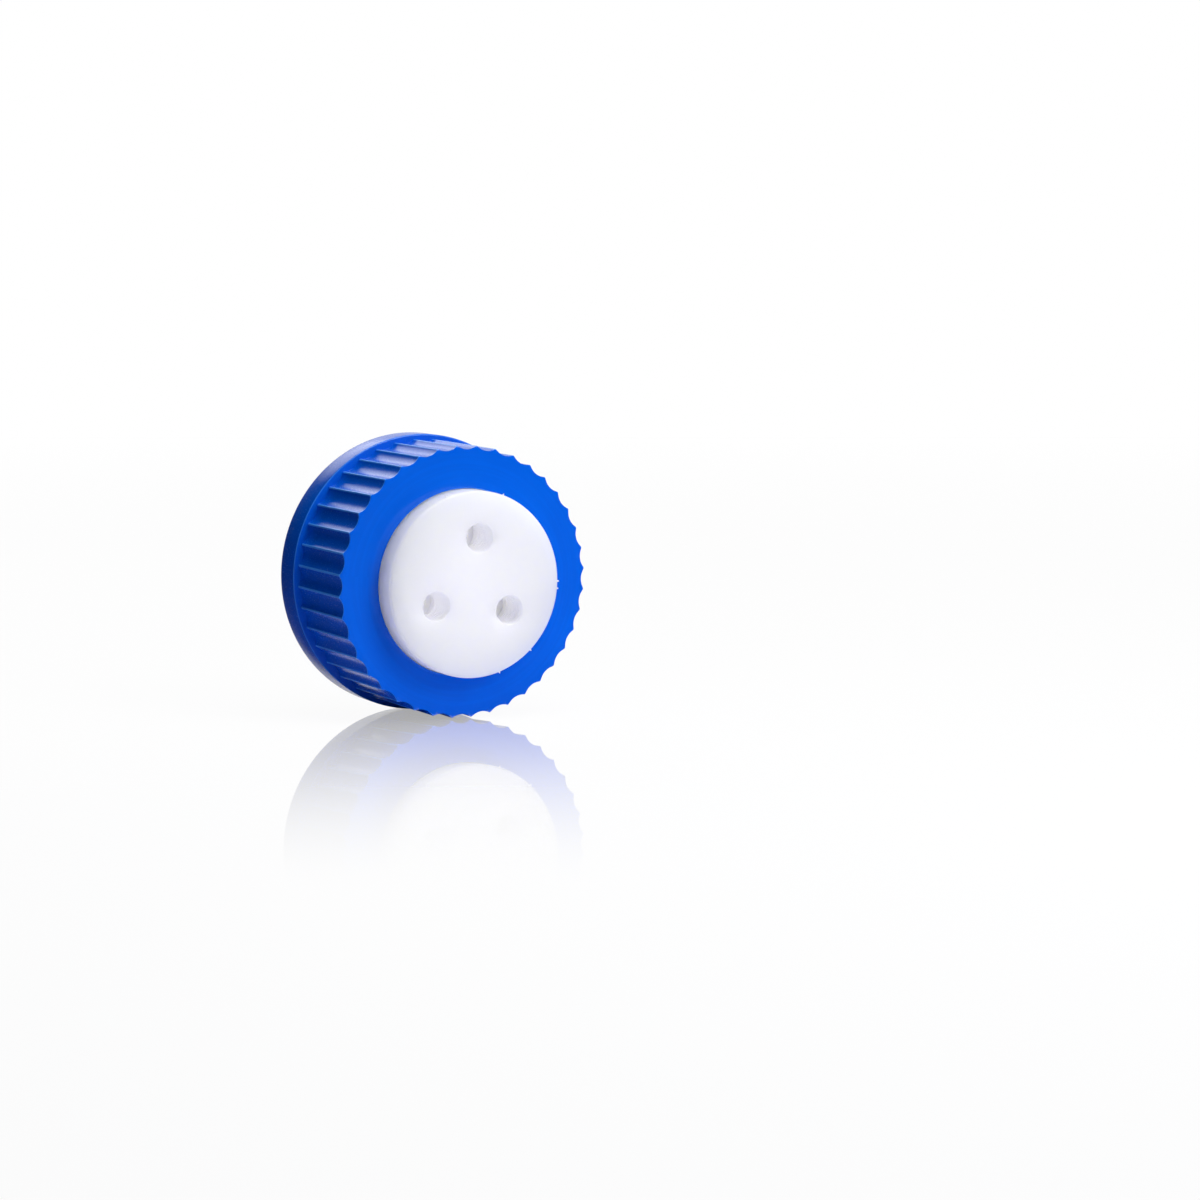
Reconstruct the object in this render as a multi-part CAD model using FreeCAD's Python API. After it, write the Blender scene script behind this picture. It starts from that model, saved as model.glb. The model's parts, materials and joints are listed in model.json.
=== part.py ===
"""Three-port screw cap for a wide-neck laboratory bottle, standing on its rim.

Sizes are in millimetres. +Z is the cap's axis and points up, out of its closed end.
The origin is the centre of the rim, the face that the cap stands on.
"""
import FreeCAD, Part
import math
import os
from FreeCAD import Vector

# Screw ring, inside: the bore at the thread's root fits the bottle's neck
root_diameter = 45.3
mouth_relief = 0.3
mouth_depth = 2.6
mouth_edge = 0.25
top_wall = 2.3
throat_edge = 0.3

# Screw ring, outside
ring_height = 25.0
skirt_wall = 2.7
flute_count = 40
flute_depth = 0.8
flute_radius = 3.3
flute_draft_deg = 0.3
top_edge_radius = 0.5
band_height = 6.2
band_ledge = 0.85
band_edge = 0.35

# Thread ridge, right-hand, round-topped
thread_pitch = 4.0
thread_turns = 3.25
thread_height = 1.25
thread_base_width = 2.3
thread_top_width = 0.7
thread_shoulder_height = 0.85
thread_run_out_turns = 0.2
thread_gap = 0.05

# Ratchet pockets in the rim
pocket_count = 8
pocket_length = 3.0
pocket_width = 2.3
pocket_shallow = 0.4
pocket_deep = 1.9
first_pocket_deg = 22.5

# Port insert
boss_diameter = 35.5
boss_rise = 4.5
boss_edge_radius = 0.5
flange_thickness = 4.0
flange_edge = 0.3
plug_diameter = 29.0
plug_length = 6.1
plug_edge_radius = 0.8

# Ports
port_count = 3
port_circle_diameter = 17.8
first_port_deg = 90.0
socket_diameter = 5.4
socket_depth = 8.0
socket_edge = 0.2
tube_bore_diameter = 3.2

# Sealing ring
seal_section = 3.8
seal_squeeze = 0.1

# Clearances
swivel_clearance = 0.08
swivel_end_play = 0.1
flange_clearance = 0.55

# Radii and heights that follow
root_radius = root_diameter / 2
mouth_radius = root_radius + mouth_relief
valley_radius = root_radius + skirt_wall
grip_radius = valley_radius + flute_depth
rim_radius = grip_radius + band_ledge
crest_radius = root_radius - thread_height
flange_radius = crest_radius - flange_clearance
boss_radius = boss_diameter / 2
plug_radius = plug_diameter / 2
socket_radius = socket_diameter / 2
throat_radius = boss_radius + swivel_clearance
ceiling_z = ring_height - top_wall
flange_top_z = ceiling_z - swivel_end_play
flange_under_z = flange_top_z - flange_thickness
plug_end_z = flange_under_z - plug_length
boss_top_z = ring_height + boss_rise
thread_start_z = mouth_depth + thread_gap + thread_base_width / 2

# How far a cutting tool runs past the face that it opens
overrun = 1.0

# How far the ridge's feet lie behind the wall, and how finely its surface is set out
ridge_burial = 0.3
stations_per_turn = 16


def drum(radius, low_z, high_z):
    """An upright cylinder on the cap's axis."""
    return Part.makeCylinder(radius, high_z - low_z, Vector(0, 0, low_z))


def turned_about(shape, angle_deg):
    """A copy of the shape, turned about the cap's axis."""
    copy = shape.copy()
    copy.rotate(Vector(0, 0, 0), Vector(0, 0, 1), angle_deg)
    return copy


def round_edges(shape, radius, z):
    """The outline edges that lie at one height."""
    return [
        edge
        for edge in shape.Edges
        if isinstance(edge.Curve, Part.Circle)
        and abs(edge.Curve.Radius - radius) < 1e-6
        and abs(edge.Curve.Center.z - z) < 1e-6
    ]


def flute():
    """The round cutter for one grip flute, leaning in towards the top by the draft."""
    cutter = Part.makeCylinder(
        flute_radius,
        ring_height - band_height + 2 * overrun,
        Vector(valley_radius + flute_radius, 0, band_height - overrun),
    )
    foot = Vector(valley_radius, 0, band_height)
    cutter.rotate(foot, Vector(0, 1, 0), -flute_draft_deg)
    return cutter


def grip():
    """The fluted upper skirt, with its top edge rounded over the crests."""
    skirt = drum(grip_radius, band_height, ring_height)
    skirt = skirt.makeFillet(top_edge_radius, round_edges(skirt, grip_radius, ring_height))
    cutter = flute()
    pitch_deg = 360 / flute_count
    cutters = [turned_about(cutter, (i + 0.5) * pitch_deg) for i in range(flute_count)]
    return skirt.cut(cutters)


def band():
    """The plain band around the foot of the ring."""
    hoop = drum(rim_radius, 0, band_height)
    edges = round_edges(hoop, rim_radius, 0) + round_edges(hoop, rim_radius, band_height)
    return hoop.makeChamfer(band_edge, edges)


def bore_tool():
    """The open space inside the ring: mouth, threaded bore and the throat around the boss."""
    mouth = drum(mouth_radius, -overrun, mouth_depth)
    chamfer = Part.makeCone(mouth_radius + mouth_edge, mouth_radius, mouth_edge)
    bore = drum(root_radius, 0, ceiling_z)
    throat = drum(throat_radius, 0, ring_height + overrun)
    throat_rim = Part.makeCone(
        throat_radius,
        throat_radius + throat_edge,
        throat_edge,
        Vector(0, 0, ring_height - throat_edge),
    )
    return mouth.fuse([chamfer, bore, throat, throat_rim])


def ridge_curve(across, inward):
    """One lengthwise line of the ridge, given by its place in the cross-section.

    The line sinks into the wall over its first and last stretch.
    """
    stations = round(thread_turns * stations_per_turn)
    points = []
    for i in range(stations + 1):
        turns = thread_turns * i / stations
        angle = 2 * math.pi * turns
        fade = min(turns, thread_turns - turns) / thread_run_out_turns
        sunk = (thread_height + ridge_burial) * (1 + math.cos(math.pi * min(fade, 1))) / 2
        radius = root_radius + sunk - inward
        z = thread_start_z + thread_pitch * turns + across
        points.append(Vector(radius * math.cos(angle), radius * math.sin(angle), z))
    curve = Part.BSplineCurve()
    curve.interpolate(points)
    return curve.toShape()


def thread_ridge():
    """The ridge, wound up the bore and run out into the wall at both ends."""
    half_base = thread_base_width / 2
    half_top = thread_top_width / 2
    shoulder = (half_base + half_top) / 2
    section = [
        (-half_base, -ridge_burial),
        (-shoulder, thread_shoulder_height),
        (-half_top, thread_height),
        (half_top, thread_height),
        (shoulder, thread_shoulder_height),
        (half_base, -ridge_burial),
    ]
    curves = [ridge_curve(across, inward) for across, inward in section]
    faces = [Part.makeRuledSurface(a, b) for a, b in zip(curves, curves[1:] + curves[:1])]
    for end in (0, -1):
        corners = [curve.Vertexes[end].Point for curve in curves]
        faces.append(Part.Face(Part.makePolygon(corners + corners[:1])))
    shell = Part.Shell(faces)
    shell.sewShape()
    return Part.Solid(shell)


def pocket():
    """One ratchet pocket: a short ramp sunk in the rim, deeper at its far end."""
    half = pocket_length / 2
    land_radius = (rim_radius + mouth_radius) / 2
    corners = [
        Vector(0, -half, -overrun),
        Vector(0, half, -overrun),
        Vector(0, half, pocket_deep),
        Vector(0, -half, pocket_shallow),
    ]
    face = Part.Face(Part.makePolygon(corners + corners[:1]))
    face.translate(Vector(land_radius - pocket_width / 2, 0, 0))
    return face.extrude(Vector(pocket_width, 0, 0))


def make_screw_ring():
    """The moulded ring: banded foot, fluted grip, threaded bore and ratchet pockets."""
    body = band().fuse(grip())
    body = body.cut(bore_tool())
    body = body.fuse(thread_ridge())
    step = 360 / pocket_count
    tool = pocket()
    pockets = [turned_about(tool, first_pocket_deg + i * step) for i in range(pocket_count)]
    return body.cut(pockets)


def port_tool():
    """The space inside one port: mouth chamfer, fitting socket and tube bore."""
    floor_z = boss_top_z - socket_depth
    socket = drum(socket_radius, floor_z, boss_top_z + overrun)
    tube_bore = drum(tube_bore_diameter / 2, plug_end_z - overrun, boss_top_z)
    mouth = Part.makeCone(
        socket_radius,
        socket_radius + socket_edge,
        socket_edge,
        Vector(0, 0, boss_top_z - socket_edge),
    )
    tool = socket.fuse([tube_bore, mouth])
    tool.translate(Vector(port_circle_diameter / 2, 0, 0))
    return tool


def make_port_insert():
    """The turned insert: boss through the ring's throat, flange under its ceiling, plug."""
    boss = drum(boss_radius, flange_under_z, boss_top_z)
    boss = boss.makeFillet(boss_edge_radius, round_edges(boss, boss_radius, boss_top_z))
    flange = drum(flange_radius, flange_under_z, flange_top_z)
    rims = round_edges(flange, flange_radius, flange_top_z)
    rims += round_edges(flange, flange_radius, flange_under_z)
    flange = flange.makeChamfer(flange_edge, rims)
    plug = drum(plug_radius, plug_end_z, flange_top_z)
    plug = plug.makeFillet(plug_edge_radius, round_edges(plug, plug_radius, plug_end_z))
    body = flange.fuse([boss, plug])
    step = 360 / port_count
    tool = port_tool()
    ports = [turned_about(tool, first_port_deg + i * step) for i in range(port_count)]
    return body.cut(ports)


def make_sealing_ring():
    """The round-section ring, pressed flat where it meets the plug and the flange."""
    section_radius = seal_section / 2
    centre_radius = plug_radius + section_radius - seal_squeeze
    centre_z = flange_under_z - section_radius + seal_squeeze
    ring = Part.makeTorus(centre_radius, section_radius, Vector(0, 0, centre_z))
    plug = drum(plug_radius, plug_end_z - overrun, flange_top_z)
    flange = drum(flange_radius, flange_under_z, flange_top_z)
    return ring.cut([plug, flange])


def save(shape, name):
    """Write one sub-part, as one clean solid."""
    solid = shape.removeSplitter().Solids[0]
    solid.exportStep(f"parts/{name}.step")


os.makedirs("parts", exist_ok=True)
save(make_screw_ring(), "screw_ring")
save(make_port_insert(), "port_insert")
save(make_sealing_ring(), "sealing_ring")
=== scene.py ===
import json
import math

import bmesh
import bpy
from mathutils import Matrix, Vector


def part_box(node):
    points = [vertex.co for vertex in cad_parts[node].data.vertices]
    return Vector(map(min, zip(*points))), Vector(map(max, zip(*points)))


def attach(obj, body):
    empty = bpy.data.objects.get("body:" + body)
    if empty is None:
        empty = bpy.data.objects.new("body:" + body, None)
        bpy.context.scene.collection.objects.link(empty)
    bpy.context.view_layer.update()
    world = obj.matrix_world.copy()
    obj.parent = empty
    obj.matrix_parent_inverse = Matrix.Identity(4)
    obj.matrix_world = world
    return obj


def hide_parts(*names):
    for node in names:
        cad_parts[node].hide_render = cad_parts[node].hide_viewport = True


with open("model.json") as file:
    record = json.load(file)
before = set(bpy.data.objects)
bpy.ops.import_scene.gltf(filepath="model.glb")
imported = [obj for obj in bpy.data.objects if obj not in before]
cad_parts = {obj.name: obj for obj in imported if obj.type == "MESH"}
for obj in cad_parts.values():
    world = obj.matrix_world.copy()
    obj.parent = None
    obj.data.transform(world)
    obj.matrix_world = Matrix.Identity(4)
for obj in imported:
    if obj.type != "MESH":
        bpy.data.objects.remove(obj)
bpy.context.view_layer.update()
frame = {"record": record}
mm = 0.001


# Camera: the photograph's view, from above and to the left of the standing cap.
# The frame is rolled, so that the cap's axis leans up to the right in the picture.
camera_place = Vector((-236.1, 37.7, 483.0)) * mm
camera_right = Vector((0.86452, 0.09344, 0.4940))
camera_up = Vector((-0.04363, 0.99286, -0.1115))
camera_back = camera_right.cross(camera_up)


def put_in_scene(name, data):
    """A new object in the scene, made from its mesh, light or camera."""
    thing = bpy.data.objects.new(name, data)
    bpy.context.collection.objects.link(thing)
    return thing


def placed(origin, right, up, back):
    """The matrix that puts a thing at a point, with its axes along three directions."""
    return Matrix.Translation(origin) @ Matrix((right, up, back)).transposed().to_4x4()


camera = put_in_scene("camera", bpy.data.cameras.new("camera"))
camera.data.sensor_width = 36
camera.data.lens = 81.71
camera.data.clip_start = 10 * mm
camera.matrix_world = placed(camera_place, camera_right, camera_up, camera_back)
bpy.context.scene.camera = camera
bpy.context.scene.view_settings.view_transform = "Standard"


# Studio: the cap lies on its side on a polished white floor, as in the photograph.
# It rests on the band and on the grip's top edge, so the floor is a little askew to the cap's axis.
# Behind it hangs a white backdrop, and to the left the studio is dark.
floor_up = Vector((-0.0823, 0.9957, -0.0445)).normalized()
floor_right = (-camera_back).cross(floor_up).normalized()
floor_away = floor_up.cross(floor_right)
floor_drop = 27.24 * mm
floor_size = 3.0
shadow_white = (0.9, 0.9, 0.92, 1)
shadow_share = 0.1
bounce_white = (0.82, 0.82, 1.0, 1)
dark_side_grey = (0.15, 0.14, 0.30, 1)
bright_beyond, dark_beyond = 5 * mm, -75 * mm
polish_index = 1.8
polish_roughness = 0.02
polish_share = 0.9
mirror_low_view = (0.1, 0.25)
mirror_reach = 200 * mm
mirror_strength = 1.05
lamp_target = Vector((0, 0, 15 * mm))


def feed(tree, socket, value):
    """Gives a socket its value: what another node puts out, a number or a colour."""
    if isinstance(value, bpy.types.NodeSocket):
        tree.links.new(value, socket)
    else:
        socket.default_value = value


def add_node(tree, kind, **values):
    """A new node, with its sockets and settings given by name."""
    node = tree.nodes.new(kind)
    for name, value in values.items():
        socket = node.inputs.get(name.replace("_", " "))
        if socket is None:
            setattr(node, name, value)
        else:
            feed(tree, socket, value)
    return node


def maths(tree, operation, first, second=0.0, clamp=False):
    """The result of one sum; each side is a socket or a number."""
    node = add_node(tree, "ShaderNodeMath", operation=operation, use_clamp=clamp)
    feed(tree, node.inputs[0], first)
    feed(tree, node.inputs[1], second)
    return node.outputs[0]


def product(tree, first, *others):
    """Several values multiplied together."""
    for other in others:
        first = maths(tree, "MULTIPLY", first, other)
    return first


def vector_maths(tree, operation, first, second=(0, 0, 0)):
    """The node for one step with whole places or directions."""
    node = add_node(tree, "ShaderNodeVectorMath", operation=operation)
    feed(tree, node.inputs[0], first)
    feed(tree, node.inputs[1], second)
    return node


def ramp(tree, value, start, end, low=0.0, high=1.0):
    """A smooth step of a value: low up to its start and high beyond its end."""
    node = add_node(tree, "ShaderNodeMapRange", interpolation_type="SMOOTHSTEP", Value=value)
    for socket, number in zip(node.inputs[1:5], (start, end, low, high)):
        socket.default_value = number
    return node.outputs[0]


def mix_shaders(tree, share, first, second):
    """Two shaders in one, with the share that goes to the second."""
    node = add_node(tree, "ShaderNodeMixShader")
    for socket, value in zip(node.inputs, (share, first, second)):
        feed(tree, socket, value)
    return node.outputs[0]


def ray_kinds(tree):
    """1 for the rays that look straight at a thing, and 1 for those that see it in a mirror or glass."""
    path = add_node(tree, "ShaderNodeLightPath").outputs
    mirror = maths(tree, "MAXIMUM", path["Is Glossy Ray"], path["Is Transmission Ray"])
    return path["Is Camera Ray"], mirror


def towards_side(tree, direction, side):
    """How near a direction comes to the middle of a bright side: 1 inside it, fading to 0 around it."""
    middle, half_angle_deg, fade_angle_deg = side
    nearness = vector_maths(tree, "DOT_PRODUCT", direction, Vector(middle).normalized())
    edges = [math.cos(math.radians(angle)) for angle in (fade_angle_deg, half_angle_deg)]
    return ramp(tree, nearness.outputs["Value"], *edges)


def make_studio_surround(backdrop_side, soft_sides, dim_strength):
    """White where it is looked at. Mirrors see the backdrop only, and the soft sides give light."""
    world = bpy.data.worlds.new("studio_surround")
    world.use_nodes = True
    tree = world.node_tree
    tree.nodes.clear()
    direction = add_node(tree, "ShaderNodeTexCoord").outputs["Generated"]
    light = dim_strength
    for side, strength in soft_sides:
        bright = product(tree, towards_side(tree, direction, side), strength)
        light = maths(tree, "ADD", bright, light)
    camera_ray, mirror_ray = ray_kinds(tree)
    lit = product(tree, light, maths(tree, "SUBTRACT", 1.0, mirror_ray))
    mirrored = product(tree, towards_side(tree, direction, backdrop_side), mirror_ray)
    strength = maths(tree, "MAXIMUM", camera_ray, maths(tree, "ADD", mirrored, lit), clamp=True)
    shown = add_node(tree, "ShaderNodeBackground", Color=(1, 1, 1, 1), Strength=strength)
    add_node(tree, "ShaderNodeOutputWorld", Surface=shown.outputs[0])
    return world


def make_floor_finish():
    """A polished white floor. It keeps the cap's shadow, mirrors a low view and is clear from behind."""
    finish = bpy.data.materials.new("white_floor")
    finish.use_nodes = True
    tree = finish.node_tree
    tree.nodes.clear()
    white = add_node(tree, "ShaderNodeEmission", Color=(1, 1, 1, 1), Strength=1.0).outputs[0]
    shadowed = add_node(tree, "ShaderNodeBsdfDiffuse", Color=shadow_white).outputs[0]
    bright_side = add_node(tree, "ShaderNodeBsdfDiffuse", Color=bounce_white).outputs[0]
    dark_side = add_node(tree, "ShaderNodeBsdfDiffuse", Color=dark_side_grey).outputs[0]
    polish = add_node(tree, "ShaderNodeBsdfGlossy", Color=(1, 1, 1, 1), Roughness=polish_roughness)
    polish = polish.outputs[0]
    clear = add_node(tree, "ShaderNodeBsdfTransparent").outputs[0]
    place = add_node(tree, "ShaderNodeTexCoord").outputs["Object"]
    place = add_node(tree, "ShaderNodeSeparateXYZ", Vector=place).outputs
    camera_ray, mirror_ray = ray_kinds(tree)

    # What the camera sees: white with the cap's shadow, and the mirrored cap, which fades towards the front
    slant = add_node(tree, "ShaderNodeFresnel", IOR=polish_index).outputs[0]
    slant = product(tree, slant, ramp(tree, slant, *mirror_low_view))
    fade = product(tree, ramp(tree, place["Y"], -mirror_reach, 0), mirror_strength)
    mirrored_share = maths(tree, "MULTIPLY", slant, fade, clamp=True)
    for_camera = mix_shaders(tree, shadow_share, white, shadowed)
    for_camera = mix_shaders(tree, mirrored_share, for_camera, polish)

    # What lights the cap from below: the white floor, which is dark to the left
    to_the_left = ramp(tree, place["X"], bright_beyond, dark_beyond)
    for_light = mix_shaders(tree, to_the_left, bright_side, dark_side)
    for_mirrors = mix_shaders(tree, polish_share, dark_side, polish)

    shown = mix_shaders(tree, mirror_ray, for_light, for_mirrors)
    shown = mix_shaders(tree, camera_ray, shown, for_camera)
    from_behind = add_node(tree, "ShaderNodeNewGeometry").outputs["Backfacing"]
    shown = mix_shaders(tree, from_behind, shown, clear)
    add_node(tree, "ShaderNodeOutputMaterial", Surface=shown)
    return finish


def add_lamp(name, towards, distance, size, power, colour=(1, 1, 1)):
    """A square soft lamp that points at the middle of the cap."""
    lamp = put_in_scene(name, bpy.data.lights.new(name, "AREA"))
    lamp.data.size = size
    lamp.data.energy = power
    lamp.data.color = colour
    lamp.location = lamp_target + Vector(towards).normalized() * distance
    lamp.rotation_mode = "QUATERNION"
    lamp.rotation_quaternion = Vector(towards).to_track_quat("Z", "Y")


floor_mesh = bmesh.new()
bmesh.ops.create_grid(floor_mesh, x_segments=1, y_segments=1, size=floor_size)
floor_data = bpy.data.meshes.new("floor")
floor_mesh.to_mesh(floor_data)
floor_mesh.free()
floor_data.materials.append(make_floor_finish())
floor = put_in_scene("floor", floor_data)
floor.matrix_world = placed(-floor_up * floor_drop, floor_right, floor_away, floor_up)

bpy.context.scene.world = make_studio_surround(
    backdrop_side=(-camera_back, 30, 43.5),
    soft_sides=[(((0.42, 0.2, 0.88), 15, 65), 0.4), (((-0.85, 0.0, 0.6), 15, 60), 0.16)],
    dim_strength=0.01,
)
add_lamp("main_lamp", (0.32, 0.602, 0.731), distance=0.53, size=0.25, power=1.34, colour=(0.97, 0.98, 1))
add_lamp("upper_lamp", (-0.02, 0.96, 0.25), distance=0.45, size=0.28, power=1.36)
add_lamp("back_lamp", (0.04, 0.56, -0.83), distance=0.60, size=0.25, power=0.42)


# Screw ring: one injection moulding in blue polypropylene, satin from its polished tool.
# Forty flutes are drawn out upwards along the skirt, and eight ratchet pockets are sunk in the rim.
ring_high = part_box("screw_ring")[1]
mounts = {mount["name"]: mount for mount in frame["record"]["mounts"]}
rim_radius = ring_high.x
ring_height = ring_high.z
mouth_radius = mounts["neck_thread"]["dims"]["r_mm"] * mm
mouth_depth = 2.6 * mm
mouth_edge = 0.25 * mm
root_radius = 22.65 * mm
ceiling_z = ring_height - 2.3 * mm
ceiling_edge = 0.3 * mm
throat_radius = 17.83 * mm
throat_edge = 0.3 * mm
inner_step_edge = 0.1 * mm
band_height = 6.2 * mm
band_edge = 0.3 * mm
crest_foot_edge = 0.06 * mm
grip_radius = 26.15 * mm
top_edge_radius = 0.5 * mm
face_outer_radius = grip_radius - 1.25 * mm
face_inner_radius = throat_radius + 0.8 * mm
flute_count = 40
flute_pitch = 2 * math.pi / flute_count
flute_depth = 0.8 * mm
flute_radius = 3.3 * mm
flute_draft = math.radians(0.3)
crest_rounding = 0.2 * mm
columns_per_flute = 24
crest_crowding = 0.7
pocket_count = 8
first_pocket = math.radians(22.5)
pocket_length = 3.0 * mm
pocket_width = 2.3 * mm
pocket_shallow = 0.4 * mm
pocket_deep = 1.9 * mm
land_radius = (rim_radius + mouth_radius) / 2
nearby = 0.01 * mm
sharp_angle = math.radians(35)
deep_blue = (0.0, 0.099, 0.64, 1)
bright_blue = (0.0, 0.124, 0.74, 1)
# Pale blue painted on the thin edges as a highlight, and how much of it is mixed in.
edge_highlight_blue = (0.06, 0.33, 1.0, 1)
edge_highlight_share = 0.95
face_streak_share = 0.5
face_polish = 0.12


def turned(corners, steps, angle=2 * math.pi, hollow=False):
    """A shape turned about the axis from a profile of corners: radius, height and rounding.

    A hollow shape's profile runs back to its first corner, and a solid one's ends are closed flat.
    """
    shape = bmesh.new()
    verts = [shape.verts.new((radius, 0, z)) for radius, z, rounding in corners]
    for a, b in zip(verts, verts[1:] + (verts[:1] if hollow else [])):
        shape.edges.new((a, b))
    for vert, (radius, z, rounding) in zip(verts, corners):
        if rounding:
            bmesh.ops.bevel(
                shape,
                geom=[vert],
                offset=rounding,
                offset_type="OFFSET",
                affect="VERTICES",
                segments=6,
                profile=0.5,
                material=-1,
            )
    whole = angle == 2 * math.pi
    bmesh.ops.spin(
        shape,
        geom=shape.verts[:] + shape.edges[:],
        cent=(0, 0, 0),
        axis=(0, 0, 1),
        angle=angle,
        steps=steps,
        use_merge=whole,
    )
    if whole and not hollow:
        bmesh.ops.holes_fill(shape, edges=shape.edges)
    bmesh.ops.recalc_face_normals(shape, faces=shape.faces)
    return shape


def finished_piece(name, shape, material):
    """The mesh as an object at the origin, smooth except over its sharp edges."""
    data = bpy.data.meshes.new(name)
    shape.to_mesh(data)
    shape.free()
    data.shade_smooth()
    data.set_sharp_from_angle(angle=sharp_angle)
    data.materials.append(material)
    return put_in_scene(name, data)


def flute_wall(off_middle, height):
    """How far from the axis a flute's wall stands, at an angle from the flute's middle."""
    centre = grip_radius - flute_depth + flute_radius - height * math.tan(flute_draft)
    sideways = centre * math.sin(off_middle)
    return centre * math.cos(off_middle) - math.sqrt(flute_radius**2 - sideways**2)


def crested_wall(off_middle, height):
    """The flute's wall with the crest beside it rounded over."""
    half_pitch = flute_pitch / 2
    crest = flute_wall(half_pitch, height)
    slope = math.asin(crest * math.sin(half_pitch) / flute_radius) + half_pitch
    from_crest = (half_pitch - abs(off_middle)) * crest
    if from_crest > crest_rounding * math.sin(slope):
        return flute_wall(off_middle, height)
    centre = crest - crest_rounding / math.cos(slope)
    return centre + math.sqrt(crest_rounding**2 - from_crest**2)


def flute_slice():
    """One flute's share of the ring, between the middles of two crests.

    Its columns crowd towards the crests, and the skirt's wall is drawn in to the flute.
    """
    corners = [
        (rim_radius, 0, band_edge),
        (rim_radius, band_height, band_edge),
        (grip_radius, band_height, crest_foot_edge),
        (grip_radius, ring_height, top_edge_radius),
        (face_outer_radius, ring_height, 0),
        (face_inner_radius, ring_height, 0),
        (throat_radius, ring_height, throat_edge),
        (throat_radius, ceiling_z, inner_step_edge),
        (root_radius, ceiling_z, ceiling_edge),
        (root_radius, mouth_depth, inner_step_edge),
        (mouth_radius, mouth_depth, inner_step_edge),
        (mouth_radius, 0, mouth_edge),
        (land_radius - pocket_width / 2, 0, 0),
        (land_radius + pocket_width / 2, 0, 0),
    ]
    shape = turned(corners, columns_per_flute, angle=flute_pitch, hollow=True)
    for vert in shape.verts:
        radius = vert.co.xy.length
        share = math.atan2(vert.co.y, vert.co.x) / flute_pitch - 0.5
        share += crest_crowding * math.sin(2 * math.pi * share) / (2 * math.pi)
        on_skirt = face_outer_radius + nearby < radius < grip_radius + crest_foot_edge + nearby
        if on_skirt and vert.co.z > band_height - nearby:
            wall = crested_wall(share * flute_pitch, vert.co.z - band_height)
            if vert.co.z < ring_height - top_edge_radius:
                radius += wall - grip_radius
            else:
                radius = min(radius, wall)
        angle = (share + 0.5) * flute_pitch
        vert.co.x = radius * math.cos(angle)
        vert.co.y = radius * math.sin(angle)
    return shape


def sink_pocket(shape, middle):
    """Sinks one ratchet pocket in the rim, at an angle round the ring. Its floor is a ramp."""
    along = Vector((-math.sin(middle), math.cos(middle), 0))
    outwards = Vector((math.cos(middle), math.sin(middle), 0))
    land = []
    for face in shape.faces:
        place = face.calc_center_median()
        in_rim = face.normal.z < -0.99 and abs(place.z) < nearby
        in_length = abs(place.dot(along)) < pocket_length / 2
        in_width = abs(place.dot(outwards) - land_radius) < pocket_width / 2
        if in_rim and in_length and in_width:
            land.append(face)
    sunk = bmesh.ops.extrude_face_region(shape, geom=land)
    bmesh.ops.delete(shape, geom=land, context="FACES")
    for vert in sunk["geom"]:
        if isinstance(vert, bmesh.types.BMVert):
            share = vert.co.dot(along) / pocket_length + 0.5
            vert.co.z += pocket_shallow + share * (pocket_deep - pocket_shallow)


ring_shape = flute_slice()
bmesh.ops.spin(
    ring_shape,
    geom=ring_shape.verts[:] + ring_shape.edges[:] + ring_shape.faces[:],
    cent=(0, 0, 0),
    axis=(0, 0, 1),
    angle=2 * math.pi - flute_pitch,
    steps=flute_count - 1,
    use_duplicate=True,
)
bmesh.ops.remove_doubles(ring_shape, verts=ring_shape.verts, dist=0.002 * mm)
bmesh.ops.recalc_face_normals(ring_shape, faces=ring_shape.faces)
for i in range(pocket_count):
    sink_pocket(ring_shape, first_pocket + i * 2 * math.pi / pocket_count)


def new_group(name, inputs, outputs):
    """An empty node group, with its inputs and outputs as given by name and kind."""
    group = bpy.data.node_groups.new(name, "ShaderNodeTree")
    for socket, kind in inputs.items():
        group.interface.new_socket(socket, in_out="INPUT", socket_type=kind)
    for socket, kind in outputs.items():
        group.interface.new_socket(socket, in_out="OUTPUT", socket_type=kind)
    return group, group.nodes.new("NodeGroupInput"), group.nodes.new("NodeGroupOutput")


def upward_part(tree, vector):
    """How high a place is, or how far a direction points up."""
    return add_node(tree, "ShaderNodeSeparateXYZ", Vector=vector).outputs["Z"]


def round_the_axis(tree, place):
    """How far a place is from the cap's axis, and its angle round it."""
    parts = add_node(tree, "ShaderNodeSeparateXYZ", Vector=place).outputs
    flat = vector_maths(tree, "MULTIPLY", place, (1, 1, 0)).outputs["Vector"]
    radius = vector_maths(tree, "LENGTH", flat).outputs["Value"]
    return radius, maths(tree, "ARCTAN2", parts["Y"], parts["X"])


def make_fine_skin():
    """What every moulded or turned piece has: soft clouds of tone and a fine grain."""
    group, given, result = new_group(
        "fine_skin",
        {"Place": "NodeSocketVector", "Cloud Size": "NodeSocketFloat", "Grain Size": "NodeSocketFloat"},
        {"Clouds": "NodeSocketFloat", "Grain": "NodeSocketFloat"},
    )
    place = given.outputs["Place"]
    for size, output, detail in (("Cloud Size", "Clouds", 2.0), ("Grain Size", "Grain", 3.0)):
        scale = maths(group, "DIVIDE", 1.0, given.outputs[size])
        noise = add_node(group, "ShaderNodeTexNoise", Vector=place, Scale=scale, Detail=detail)
        group.links.new(noise.outputs[0], result.inputs[output])
    return group


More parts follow.
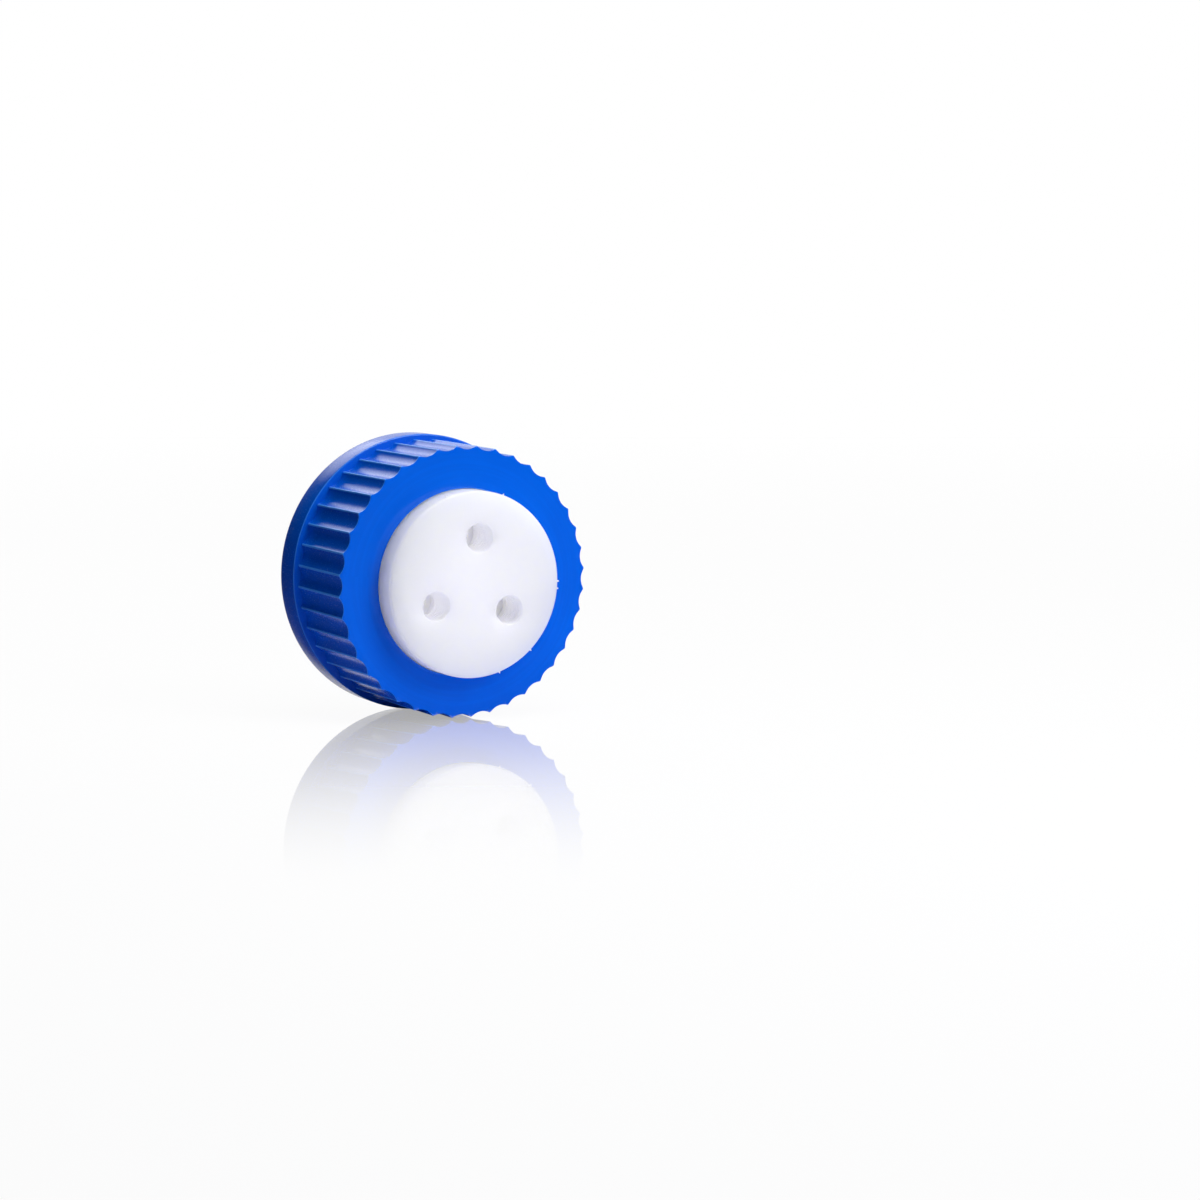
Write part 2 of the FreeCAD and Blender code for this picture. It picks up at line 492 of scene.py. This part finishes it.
def make_turned_marks():
    """Fine rings about the axis, as a turning tool leaves them. They come and go around the piece."""
    group, given, result = new_group(
        "turned_marks",
        {"Place": "NodeSocketVector", "Spacing": "NodeSocketFloat"},
        {"Marks": "NodeSocketFloat"},
    )
    radius, azimuth = round_the_axis(group, given.outputs["Place"])
    rings = maths(group, "DIVIDE", radius, given.outputs["Spacing"])
    marks = add_node(group, "ShaderNodeTexNoise", noise_dimensions="1D", W=rings, Detail=2.0)
    stretched = add_node(group, "ShaderNodeCombineXYZ", X=product(group, rings, 0.3), Y=azimuth)
    coming = add_node(group, "ShaderNodeTexNoise", noise_dimensions="2D", Scale=1.0, Detail=1.0)
    group.links.new(stretched.outputs[0], coming.inputs["Vector"])
    shown = product(group, marks.outputs[0], ramp(group, coming.outputs[0], 0.4, 0.65))
    group.links.new(shown, result.inputs["Marks"])
    return group


fine_skin = make_fine_skin()
turned_marks = make_turned_marks()


def mix_colours(tree, share, first, second):
    """The node that mixes two colours, with the share of the second."""
    node = add_node(tree, "ShaderNodeMix", data_type="RGBA")
    for socket, value in zip((node.inputs[0], node.inputs[6], node.inputs[7]), (share, first, second)):
        feed(tree, socket, value)
    return node


def source_of(socket):
    """What feeds a socket."""
    return socket.links[0].from_socket


def new_finish(name, colour_a, colour_b, cloud_size, gloss, grain_size, grain_depth):
    """A material with two near colours in soft clouds, and a fine grain in its gloss and surface."""
    finish = bpy.data.materials.new(name)
    finish.use_nodes = True
    tree = finish.node_tree
    shader = tree.nodes["Principled BSDF"].inputs
    skin = add_node(tree, "ShaderNodeGroup", node_tree=fine_skin)
    feed(tree, skin.inputs["Place"], add_node(tree, "ShaderNodeTexCoord").outputs["Object"])
    feed(tree, skin.inputs["Cloud Size"], cloud_size)
    feed(tree, skin.inputs["Grain Size"], grain_size)
    clouds, grain = skin.outputs["Clouds"], skin.outputs["Grain"]
    feed(tree, shader["Base Color"], mix_colours(tree, clouds, colour_a, colour_b).outputs[2])
    feed(tree, shader["Roughness"], ramp(tree, grain, 0.3, 0.7, *gloss))
    bump = add_node(tree, "ShaderNodeBump", Strength=1.0, Distance=grain_depth, Height=grain)
    feed(tree, shader["Normal"], bump.outputs[0])
    return finish


def press_turned_marks(finish, spacing, depth, lowest_z):
    """Turned marks over the faces that lie higher than a height, under the grain. It gives their mask."""
    tree = finish.node_tree
    place = add_node(tree, "ShaderNodeTexCoord").outputs["Object"]
    marks = add_node(tree, "ShaderNodeGroup", node_tree=turned_marks)
    feed(tree, marks.inputs["Place"], place)
    feed(tree, marks.inputs["Spacing"], spacing)
    in_reach = maths(tree, "GREATER_THAN", upward_part(tree, place), lowest_z)
    shown = product(tree, marks.outputs[0], in_reach)
    pressed = add_node(tree, "ShaderNodeBump", Strength=1.0, Distance=depth, Height=shown)
    grain = source_of(tree.nodes["Principled BSDF"].inputs["Normal"]).node
    feed(tree, grain.inputs["Normal"], pressed.outputs[0])
    return shown


def painted_edge_highlights(tree):
    """Where the moulding is thin, a highlight is painted: on the crests, the end face's rims and the band's
    edge, in place of light shining through.
    """
    coordinates = add_node(tree, "ShaderNodeTexCoord").outputs
    height = upward_part(tree, coordinates["Object"])
    faces_up = upward_part(tree, coordinates["Normal"])
    not_flat = ramp(tree, faces_up, 0.95, 0.75)
    radius, azimuth = round_the_axis(tree, coordinates["Object"])

    along_crest = ramp(tree, maths(tree, "COSINE", product(tree, azimuth, flute_count)), 0.90, 0.97)
    on_grip = maths(tree, "GREATER_THAN", radius, grip_radius - 0.3 * mm)
    above_band = maths(tree, "GREATER_THAN", height, band_height + 0.1 * mm)
    crests = product(tree, along_crest, on_grip, above_band)

    face_rims = ramp(tree, height, ring_height - 0.3 * mm, ring_height - 0.15 * mm)
    face_rims = product(tree, face_rims, not_flat)

    on_band = maths(tree, "GREATER_THAN", radius, rim_radius - 0.25 * mm)
    band_top = product(tree, on_band, ramp(tree, faces_up, 0.1, 0.5, 0, 0.5), not_flat)
    return maths(tree, "MAXIMUM", crests, maths(tree, "MAXIMUM", face_rims, band_top))


def make_blue_finish():
    """Blue polypropylene: satin, with faint flow clouds, a painted highlight on its thin edges and a
    polished end face.
    """
    finish = new_finish(
        "blue_polypropylene",
        colour_a=deep_blue,
        colour_b=bright_blue,
        cloud_size=14 * mm,
        gloss=(0.20, 0.28),
        grain_size=0.25 * mm,
        grain_depth=0.0015 * mm,
    )
    tree = finish.node_tree
    shader = tree.nodes["Principled BSDF"].inputs
    feed(tree, shader["IOR"], 1.5)
    feed(tree, shader["Specular IOR Level"], 0.25)
    below_face = ring_height - 0.05 * mm

    marks = press_turned_marks(finish, spacing=0.22 * mm, depth=0.003 * mm, lowest_z=below_face)
    tones = source_of(shader["Base Color"]).node
    streaks = product(tree, marks, face_streak_share)
    feed(tree, tones.inputs[0], maths(tree, "ADD", source_of(tones.inputs[0]), streaks, clamp=True))

    height = upward_part(tree, add_node(tree, "ShaderNodeTexCoord").outputs["Object"])
    polished = product(tree, maths(tree, "GREATER_THAN", height, below_face), face_polish)
    feed(tree, shader["Roughness"], maths(tree, "SUBTRACT", source_of(shader["Roughness"]), polished))

    # Painted highlight: the thin edges are mixed towards a pale blue, in place of light shining through
    # them.
    edge_highlight = product(tree, painted_edge_highlights(tree), edge_highlight_share)
    highlighted_tones = mix_colours(tree, edge_highlight, tones.outputs[2], edge_highlight_blue)
    feed(tree, shader["Base Color"], highlighted_tones.outputs[2])
    return finish


blue_plastic = make_blue_finish()
ring_piece = finished_piece("ring_moulding", ring_shape, blue_plastic)
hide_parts("screw_ring")
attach(ring_piece, "ring")


# Neck thread: the right-hand ridge that the same moulding carries inside its skirt.
# It is round-topped, and sinks into the wall where it starts and where it ends.
thread_pitch = 4.0 * mm
thread_turns = 3.25
thread_start_z = 3.8 * mm
thread_run_out = 0.2
thread_height = 1.25 * mm
ridge_burial = 0.3 * mm
ridge_half_width = 1.15 * mm
ridge_points = 9
ridge_fullness = 0.8


def wound(section, start_z, pitch, turns, steps_per_turn):
    """A closed ridge wound up the axis. Its section's points are a radius and a height."""
    ridge = bmesh.new()
    verts = [ridge.verts.new((radius, 0, start_z + across)) for radius, across in section]
    edges = [ridge.edges.new(ends) for ends in zip(verts, verts[1:] + verts[:1])]
    bmesh.ops.spin(
        ridge,
        geom=verts + edges,
        cent=(0, 0, 0),
        axis=(0, 0, 1),
        dvec=(0, 0, pitch / steps_per_turn),
        angle=2 * math.pi * turns,
        steps=round(turns * steps_per_turn),
    )
    bmesh.ops.holes_fill(ridge, edges=ridge.edges)
    bmesh.ops.recalc_face_normals(ridge, faces=ridge.faces)
    return ridge


ridge_section = []
for i in range(ridge_points):
    lean = math.pi * i / (ridge_points - 1)
    inward = (thread_height + ridge_burial) * math.sin(lean) ** ridge_fullness - ridge_burial
    ridge_section.append((root_radius - inward, -ridge_half_width * math.cos(lean)))
ridge = wound(ridge_section, thread_start_z, thread_pitch, thread_turns, steps_per_turn=80)
for vert in ridge.verts:
    turn = (math.atan2(vert.co.y, vert.co.x) / (2 * math.pi)) % 1
    turn += round((vert.co.z - thread_start_z) / thread_pitch - turn)
    fade = min(max(min(turn, thread_turns - turn) / thread_run_out, 0), 1)
    sunk = (thread_height + ridge_burial) * (1 + math.cos(math.pi * fade)) / 2
    radius = vert.co.xy.length
    vert.co.xy *= min(radius + sunk, root_radius + 2 * ridge_burial) / radius
ridge_piece = finished_piece("neck_thread", ridge, blue_plastic)
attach(ridge_piece, "ring")


# Port insert: turned from a bar of white fluoropolymer, as boss, flange and plug in one piece.
# Three stepped ports are drilled through it and tapped with a fine thread for tube fittings.
insert_low, insert_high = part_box("port_insert")
boss_top_z = insert_high.z
boss_radius = 17.75 * mm
boss_edge = 0.5 * mm
flange_radius = insert_high.x
flange_top_z = ceiling_z - 0.1 * mm
flange_under_z = flange_top_z - 4.0 * mm
flange_edge = 0.3 * mm
plug_radius = 14.5 * mm
plug_end_z = insert_low.z
plug_edge = 0.8 * mm
end_face_margin = 0.4 * mm
port_count = 3
socket_radius = mounts["fitting_port_1"]["dims"]["r_mm"] * mm
socket_depth = 8.0 * mm
socket_floor_z = boss_top_z - socket_depth
socket_edge = 0.2 * mm
tube_radius = mounts["tube_bore_1"]["dims"]["r_mm"] * mm
cutter_overrun = 1 * mm
tap_pitch = 25.4 * mm / 28
tap_depth = 0.22 * mm
tap_start = 0.7 * mm
tap_end_clearance = 0.84 * mm
tap_root_half_width = 0.04 * mm
tap_mouth_half_width = 0.3 * mm
tap_overlap = 0.15 * mm
white_a = (0.90, 0.90, 0.925, 1)
white_b = (0.92, 0.92, 0.945, 1)
light_reach = 14.0 * mm
insert_corners = [
    (boss_radius - boss_edge - end_face_margin, boss_top_z, 0),
    (boss_radius, boss_top_z, boss_edge),
    (boss_radius, flange_top_z, 0),
    (flange_radius, flange_top_z, flange_edge),
    (flange_radius, flange_under_z, flange_edge),
    (plug_radius, flange_under_z, 0),
    (plug_radius, plug_end_z, plug_edge),
    (plug_radius - plug_edge - end_face_margin, plug_end_z, 0),
]
port_corners = [
    (tube_radius, plug_end_z - cutter_overrun, 0),
    (tube_radius, socket_floor_z, 0),
    (socket_radius, socket_floor_z, 0),
    (socket_radius, boss_top_z - socket_edge, 0),
    (socket_radius + socket_edge, boss_top_z, 0),
    (socket_radius + socket_edge, boss_top_z + cutter_overrun, 0),
]
tap_section = [
    (socket_radius - tap_overlap, -tap_mouth_half_width),
    (socket_radius + tap_depth, -tap_root_half_width),
    (socket_radius + tap_depth, tap_root_half_width),
    (socket_radius - tap_overlap, tap_mouth_half_width),
]
port_places = [Vector(mounts[f"fitting_port_{i + 1}"]["pos_m"]) for i in range(port_count)]


def cut_at_ports(piece, cutters):
    """Cuts each cutter's shape out of the piece at every port, and keeps the result as its mesh."""
    for shape in cutters:
        for place in port_places:
            copy = shape.copy()
            bmesh.ops.translate(copy, verts=copy.verts, vec=(place.x, place.y, 0))
            data = bpy.data.meshes.new("cutter")
            copy.to_mesh(data)
            copy.free()
            tool = put_in_scene("cutter", data)
            cut = piece.modifiers.new("cut", "BOOLEAN")
            cut.operation = "DIFFERENCE"
            cut.solver = "EXACT"
            cut.object = tool
            view = bpy.context.evaluated_depsgraph_get()
            mesh = bpy.data.meshes.new_from_object(piece.evaluated_get(view))
            piece.modifiers.clear()
            piece.data = mesh
            bpy.data.objects.remove(tool)
        shape.free()
    piece.data.set_sharp_from_angle(angle=sharp_angle)


def make_white_finish(name, see_through):
    """White fluoropolymer: waxy and slightly see-through, with fine marks from the lathe."""
    finish = new_finish(
        name,
        colour_a=white_a,
        colour_b=white_b,
        cloud_size=6 * mm,
        gloss=(0.42, 0.52),
        grain_size=0.3 * mm,
        grain_depth=0.004 * mm,
    )
    below_plug = plug_end_z - 1 * mm
    press_turned_marks(finish, spacing=0.16 * mm, depth=0.004 * mm, lowest_z=below_plug)
    shader = finish.node_tree.nodes["Principled BSDF"].inputs
    feed(finish.node_tree, shader["Subsurface Weight"], see_through)
    feed(finish.node_tree, shader["Subsurface Radius"], (1.0, 1.0, 1.3))
    feed(finish.node_tree, shader["Subsurface Scale"], light_reach)
    return finish


tap_turns = (socket_depth - tap_start - tap_end_clearance) / tap_pitch
tap_low = boss_top_z - tap_start - tap_turns * tap_pitch
tap = wound(tap_section, tap_low, tap_pitch, tap_turns, steps_per_turn=32)
white_plastic = make_white_finish("white_fluoropolymer", see_through=1.0)
insert_piece = finished_piece("turned_insert", turned(insert_corners, 256), white_plastic)
cut_at_ports(insert_piece, [tap, turned(port_corners, 64)])
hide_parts("port_insert")
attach(insert_piece, "insert")


# Burrs: six tiny slivers that the lathe left standing out of the boss's edge.
# Each is a flat, pointed flake of the white body. Its angle round the boss, in degrees,
# comes with how far it stands out, in millimetres.
burr_reaches = {115: 0.45, 76: 0.30, 5: 0.35, 0.5: 0.25, 318: 0.25, 293: 0.30}
burr_root_radius = 0.108 * mm
burr_tip_radius = 0.024 * mm
burr_roots = 0.08 * mm
burr_width = 2.2
burr_lean = math.radians(75)
burr_z = boss_top_z - 0.28 * mm
burrs = bmesh.new()
for angle_deg, reach_mm in burr_reaches.items():
    reach = reach_mm * mm
    flake = bmesh.ops.create_cone(
        burrs,
        cap_ends=True,
        segments=8,
        radius1=burr_root_radius,
        radius2=burr_tip_radius,
        depth=reach + burr_roots,
    )["verts"]
    outwards = Matrix.Rotation(burr_lean, 3, "Y")
    around = Matrix.Rotation(math.radians(angle_deg), 3, "Z")
    middle = (boss_radius + (reach - burr_roots) / 2, 0, burr_z)
    bmesh.ops.rotate(burrs, verts=flake, cent=(0, 0, 0), matrix=outwards)
    bmesh.ops.scale(burrs, verts=flake, vec=(1, burr_width, 1))
    bmesh.ops.translate(burrs, verts=flake, vec=middle)
    bmesh.ops.rotate(burrs, verts=flake, cent=(0, 0, 0), matrix=around)
bmesh.ops.recalc_face_normals(burrs, faces=burrs.faces)
burr_piece = finished_piece("boss_burrs", burrs, make_white_finish("white_flakes", see_through=0.0))
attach(burr_piece, "insert")


# Light in the ports: the waxy body carries light into them, which leaves them grey and not black.
# A small lamp near each port's mouth stands for it. The lamps themselves are never seen.
glow_depth = 2.0 * mm
for i, place in enumerate(port_places):
    name = f"port_glow_{i + 1}"
    glow = put_in_scene(name, bpy.data.lights.new(name, "POINT"))
    glow.data.energy = 1.45e-4
    glow.data.color = (0.90, 0.88, 1)
    glow.data.shadow_soft_size = 1.5 * mm
    glow.visible_camera = False
    glow.visible_glossy = False
    glow.location = place - Vector((0, 0, glow_depth))


# Sealing ring: a round cord of black rubber, moulded as one ring and stretched over the plug.
# It is pressed a little flat where it meets the plug and the flange.
seal_low, seal_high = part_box("sealing_ring")
seal_squeeze = 0.1 * mm
seal_radius = (seal_high.z - seal_low.z + seal_squeeze) / 2
seal_centre = Vector((seal_high.x - seal_radius, 0, seal_low.z + seal_radius))
stood_up = Matrix.Rotation(math.pi / 2, 3, "X")
seal_shape = bmesh.new()
bmesh.ops.create_circle(seal_shape, segments=32, radius=seal_radius)
bmesh.ops.rotate(seal_shape, verts=seal_shape.verts, cent=(0, 0, 0), matrix=stood_up)
bmesh.ops.translate(seal_shape, verts=seal_shape.verts, vec=seal_centre)
for vert in seal_shape.verts:
    vert.co.x = max(vert.co.x, plug_radius)
    vert.co.z = min(vert.co.z, flange_under_z)
bmesh.ops.spin(
    seal_shape,
    geom=seal_shape.verts[:] + seal_shape.edges[:],
    cent=(0, 0, 0),
    axis=(0, 0, 1),
    angle=2 * math.pi,
    steps=160,
    use_merge=True,
)
bmesh.ops.recalc_face_normals(seal_shape, faces=seal_shape.faces)

# Near-black, with a soft sheen and a fine bloom
black_rubber = new_finish(
    "black_rubber",
    colour_a=(0.012, 0.013, 0.019, 1),
    colour_b=(0.018, 0.019, 0.028, 1),
    cloud_size=3 * mm,
    gloss=(0.36, 0.50),
    grain_size=0.15 * mm,
    grain_depth=0.006 * mm,
)
seal_piece = finished_piece("rubber_sealing_ring", seal_shape, black_rubber)
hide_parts("sealing_ring")
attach(seal_piece, "insert")
